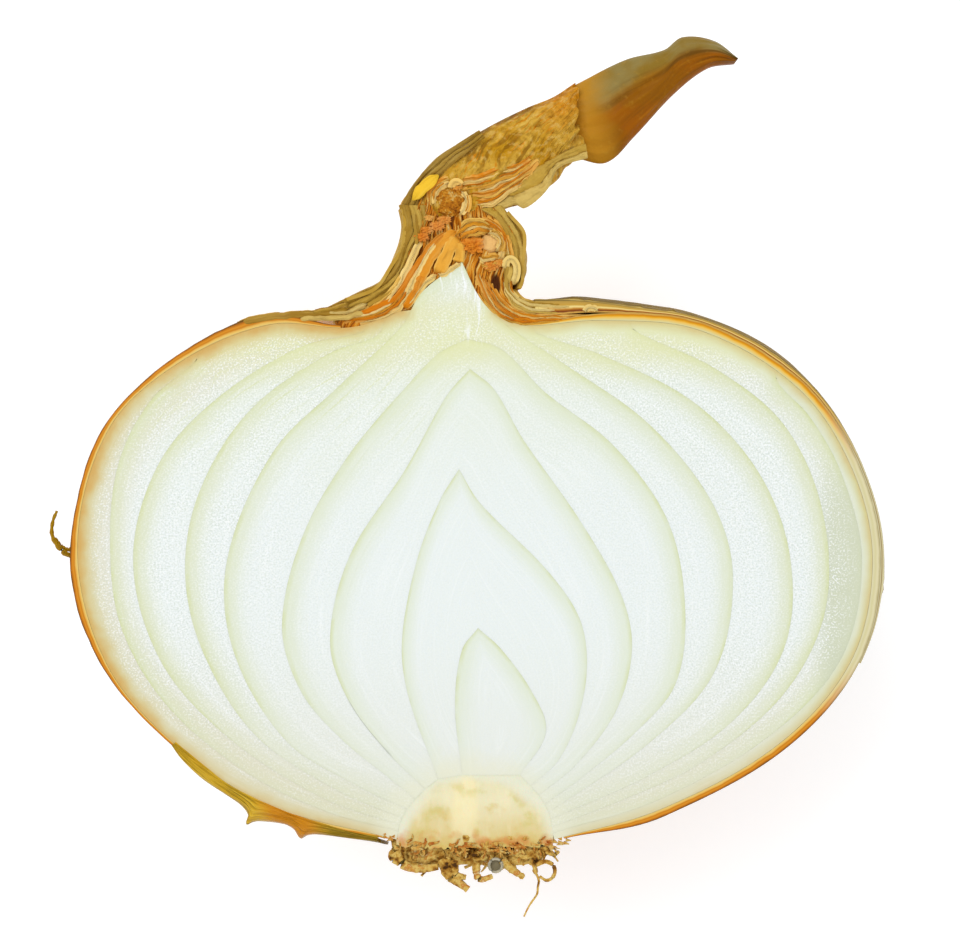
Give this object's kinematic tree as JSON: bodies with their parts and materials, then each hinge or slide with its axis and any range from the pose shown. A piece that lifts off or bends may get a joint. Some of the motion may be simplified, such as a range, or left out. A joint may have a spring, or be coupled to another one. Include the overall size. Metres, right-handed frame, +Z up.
{
  "type": "halved onion",
  "caption": "Yellow bulb onion cut lengthwise through neck and root plate: nested fleshy scales, dry skins, dried stalk and roots, resting cut face up.",
  "frame": {"origin": "on the small flat spot that the half rests on, straight below the bulb's axis at its widest level", "axes": "+Z up, square to the cut face; +Y along the bulb's axis from root plate to neck; +X to the right of the cut face"},
  "size_m": [0.0841, 0.0887, 0.0394],
  "materials": {
    "outer_flesh": "satin",
    "inner_flesh": "satin",
    "plate_flesh": "matte",
    "root_fibre": "matte",
    "dry_skin": "satin",
    "old_skin": "matte",
    "yellow_skin": "satin",
    "stalk_straw": "matte",
    "stalk_tip": "satin"
  },
  "bodies": {
    "root": {"fleshy_scale_1": "outer_flesh", "fleshy_scale_2": "outer_flesh", "fleshy_scale_3": "outer_flesh", "fleshy_scale_4": "inner_flesh", "fleshy_scale_5": "inner_flesh", "fleshy_scale_6": "inner_flesh", "fleshy_scale_7": "inner_flesh", "fleshy_scale_8": "inner_flesh", "heart_bud": "inner_flesh", "basal_plate": "plate_flesh", "roots": "root_fibre", "dry_skin": "dry_skin", "loose_skin": "old_skin", "torn_skin_flap": "yellow_skin", "peel_strip": "yellow_skin", "neck_sheath": "stalk_straw", "neck_middle_sheath": "dry_skin", "neck_lining": "dry_skin", "inner_leaf_ends": "dry_skin", "dry_stalk": "stalk_straw", "stalk_tip_leaf": "stalk_tip"}
  },
  "joints": []
}
